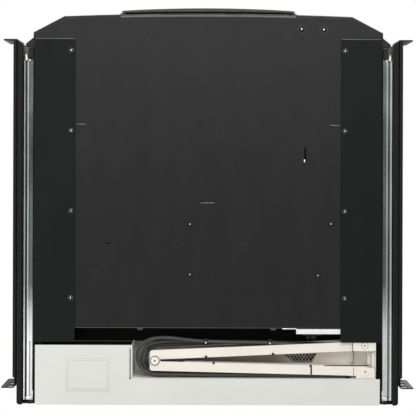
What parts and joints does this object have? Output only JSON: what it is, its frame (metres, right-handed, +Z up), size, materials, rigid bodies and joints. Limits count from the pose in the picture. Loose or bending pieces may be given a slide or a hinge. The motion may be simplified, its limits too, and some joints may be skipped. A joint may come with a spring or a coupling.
{
  "type": "rackmount lcd console drawer",
  "caption": "Shallow rack-mounted console drawer on telescopic slides with a fold-up flat display, keyboard, touchpad and a folding cable arm to a rear connector box.",
  "frame": {"origin": "middle of the front ears' hole pattern, on the rear face of the ears that meets the rack's front posts", "axes": "+X to the right seen from the front, +Y to the rear of the rack, +Z up; the drawer opens along -Y"},
  "size_m": [0.486, 0.4717, 0.0445],
  "materials": {
    "black_paint": "fine-textured black powder coat",
    "zinc_steel": "zinc-plated steel",
    "bright_steel": "bright nickel-plated steel",
    "light_paint": "pale grey paint, satin",
    "arm_paint": "off-white satin paint",
    "black_plastic": "black moulded plastic",
    "key_plastic": "black keycap plastic",
    "display": "dark display glass in its frame",
    "circuit_board": "green laminate",
    "cable_jacket": "black flexible jacket"
  },
  "bodies": {
    "rack_frame": {"ear_rail_left": "black_paint", "ear_rail_right": "black_paint", "slide_channel_left": "black_paint", "slide_channel_right": "black_paint", "slide_outer_left": "zinc_steel", "slide_outer_right": "zinc_steel", "rear_box_tray": "light_paint", "rear_box_cover": "light_paint", "vent_screen": "black_paint", "interface_board": "circuit_board", "console_port": "black_plastic", "power_inlet": "black_plastic", "arm_box_bracket": "arm_paint", "arm_box_pin": "bright_steel", "frame_screws": "bright_steel"},
    "rear_bracket_left": {"rear_bracket_left": "black_paint"},
    "rear_bracket_right": {"rear_bracket_right": "black_paint"},
    "slide_middle_left": {"slide_middle_left": "zinc_steel"},
    "slide_middle_right": {"slide_middle_right": "zinc_steel"},
    "ball_cage_outer_left": {"ball_retainer_outer_left": "zinc_steel"},
    "ball_cage_outer_right": {"ball_retainer_outer_right": "zinc_steel"},
    "ball_cage_inner_left": {"ball_retainer_inner_left": "zinc_steel"},
    "ball_cage_inner_right": {"ball_retainer_inner_right": "zinc_steel"},
    "drawer": {"drawer_pan": "black_paint", "side_plate_left": "black_paint", "side_plate_right": "black_paint", "slide_inner_left": "zinc_steel", "slide_inner_right": "zinc_steel", "front_bezel": "black_plastic", "grip_handle": "black_plastic", "keyboard_deck": "black_paint", "key_guide_plate": "zinc_steel", "keyboard_circuit": "circuit_board", "touchpad": "black_plastic", "rear_crossbar": "black_paint", "stiffener_strip": "zinc_steel", "hinge_brackets": "black_paint", "hinge_pins": "bright_steel", "arm_drawer_bracket": "arm_paint", "drawer_screws": "bright_steel"},
    "slide_latch_left": {"slide_latch_left": "black_plastic"},
    "slide_latch_right": {"slide_latch_right": "black_plastic"},
    "function_keys": {"keys_function_row": "key_plastic"},
    "main_keys": {"keys_main_block": "key_plastic"},
    "number_keys": {"keys_numeric_pad": "key_plastic"},
    "space_bar": {"space_bar": "key_plastic"},
    "touchpad_button_left": {"touchpad_button_left": "black_plastic"},
    "touchpad_button_right": {"touchpad_button_right": "black_plastic"},
    "lid": {"lid_shell": "black_paint", "lid_bezel": "black_plastic", "lcd_panel": "display", "lcd_driver_board": "circuit_board", "lid_hinge_leaves": "bright_steel"},
    "menu_buttons": {"osd_buttons": "black_plastic"},
    "cable_arm_box": {"arm_box_side": "arm_paint", "elbow_pin": "bright_steel", "harness_box_run": "cable_jacket"},
    "cable_arm_drawer": {"arm_drawer_side": "arm_paint", "harness_drawer_run": "cable_jacket", "harness_elbow_loop": "cable_jacket"}
  },
  "joints": [
    {"name": "drawer_slide", "type": "slide", "parent": "rack_frame", "child": "drawer", "axis": [0, -1, 0], "range_m": [0, 0.36]},
    {"name": "slide_middle_left", "type": "slide", "parent": "rack_frame", "child": "slide_middle_left", "axis": [0, -1, 0], "range_m": [0, 0.18]},
    {"name": "ball_cage_outer_left", "type": "slide", "parent": "rack_frame", "child": "ball_cage_outer_left", "axis": [0, -1, 0], "range_m": [0, 0.09]},
    {"name": "ball_cage_inner_left", "type": "slide", "parent": "rack_frame", "child": "ball_cage_inner_left", "axis": [0, -1, 0], "range_m": [0, 0.27]},
    {"name": "slide_middle_right", "type": "slide", "parent": "rack_frame", "child": "slide_middle_right", "axis": [0, -1, 0], "range_m": [0, 0.18]},
    {"name": "ball_cage_outer_right", "type": "slide", "parent": "rack_frame", "child": "ball_cage_outer_right", "axis": [0, -1, 0], "range_m": [0, 0.09]},
    {"name": "ball_cage_inner_right", "type": "slide", "parent": "rack_frame", "child": "ball_cage_inner_right", "axis": [0, -1, 0], "range_m": [0, 0.27]},
    {"name": "lid_hinge", "type": "hinge", "parent": "drawer", "child": "lid", "pos_m": [0, 0.344, 0.012], "axis": [-1, 0, 0], "range_deg": [0, 110]},
    {"name": "cable_arm_box_pivot", "type": "hinge", "parent": "rack_frame", "child": "cable_arm_box", "pos_m": [0.186, 0.3892, -0.0098], "axis": [0, 0, 1], "range_deg": [0, 46.6]},
    {"name": "cable_arm_elbow", "type": "hinge", "parent": "cable_arm_box", "child": "cable_arm_drawer", "pos_m": [-0.062, 0.3773, -0.0099], "axis": [0, 0, 1], "range_deg": [-93.2, 0], "deforming": ["harness_elbow_loop"]},
    {"name": "rear_bracket_left", "type": "slide", "parent": "rack_frame", "child": "rear_bracket_left", "axis": [0, 1, 0], "range_m": [0, 0.2]},
    {"name": "rear_bracket_right", "type": "slide", "parent": "rack_frame", "child": "rear_bracket_right", "axis": [0, 1, 0], "range_m": [0, 0.2]},
    {"name": "function_keys_press", "type": "slide", "parent": "drawer", "child": "function_keys", "axis": [0, 0, -1], "range_m": [0, 0.0022], "stiffness_N_per_m": 600, "springref_m": -0.002},
    {"name": "main_keys_press", "type": "slide", "parent": "drawer", "child": "main_keys", "axis": [0, 0, -1], "range_m": [0, 0.0022], "stiffness_N_per_m": 3000, "springref_m": -0.002},
    {"name": "number_keys_press", "type": "slide", "parent": "drawer", "child": "number_keys", "axis": [0, 0, -1], "range_m": [0, 0.0022], "stiffness_N_per_m": 900, "springref_m": -0.002},
    {"name": "space_bar_press", "type": "slide", "parent": "drawer", "child": "space_bar", "axis": [0, 0, -1], "range_m": [0, 0.0022], "stiffness_N_per_m": 350, "springref_m": -0.002},
    {"name": "touchpad_button_left_press", "type": "slide", "parent": "drawer", "child": "touchpad_button_left", "axis": [0, 0, -1], "range_m": [0, 0.001], "stiffness_N_per_m": 600, "springref_m": -0.001},
    {"name": "touchpad_button_right_press", "type": "slide", "parent": "drawer", "child": "touchpad_button_right", "axis": [0, 0, -1], "range_m": [0, 0.001], "stiffness_N_per_m": 600, "springref_m": -0.001},
    {"name": "slide_latch_left", "type": "hinge", "parent": "drawer", "child": "slide_latch_left", "pos_m": [-0.2104, 0.018, 0], "axis": [1, 0, 0], "range_deg": [0, 8], "stiffness_Nm_per_rad": 0.08, "springref_deg": -8.59},
    {"name": "slide_latch_right", "type": "hinge", "parent": "drawer", "child": "slide_latch_right", "pos_m": [0.2104, 0.018, 0], "axis": [1, 0, 0], "range_deg": [0, 8], "stiffness_Nm_per_rad": 0.08, "springref_deg": -8.59},
    {"name": "menu_buttons_press", "type": "slide", "parent": "lid", "child": "menu_buttons", "axis": [0, 0, 1], "range_m": [0, 0.0004], "stiffness_N_per_m": 1500, "springref_m": -0.0004}
  ],
  "couplings": [
    {"joint": "slide_middle_left", "follows": "drawer_slide", "ratio": 0.5},
    {"joint": "ball_cage_outer_left", "follows": "drawer_slide", "ratio": 0.25},
    {"joint": "ball_cage_inner_left", "follows": "drawer_slide", "ratio": 0.75},
    {"joint": "slide_middle_right", "follows": "drawer_slide", "ratio": 0.5},
    {"joint": "ball_cage_outer_right", "follows": "drawer_slide", "ratio": 0.25},
    {"joint": "ball_cage_inner_right", "follows": "drawer_slide", "ratio": 0.75},
    {"joint": "cable_arm_box_pivot", "follows": "drawer_slide", "rad_per_m": 2.255},
    {"joint": "cable_arm_elbow", "follows": "drawer_slide", "rad_per_m": -4.51}
  ]
}
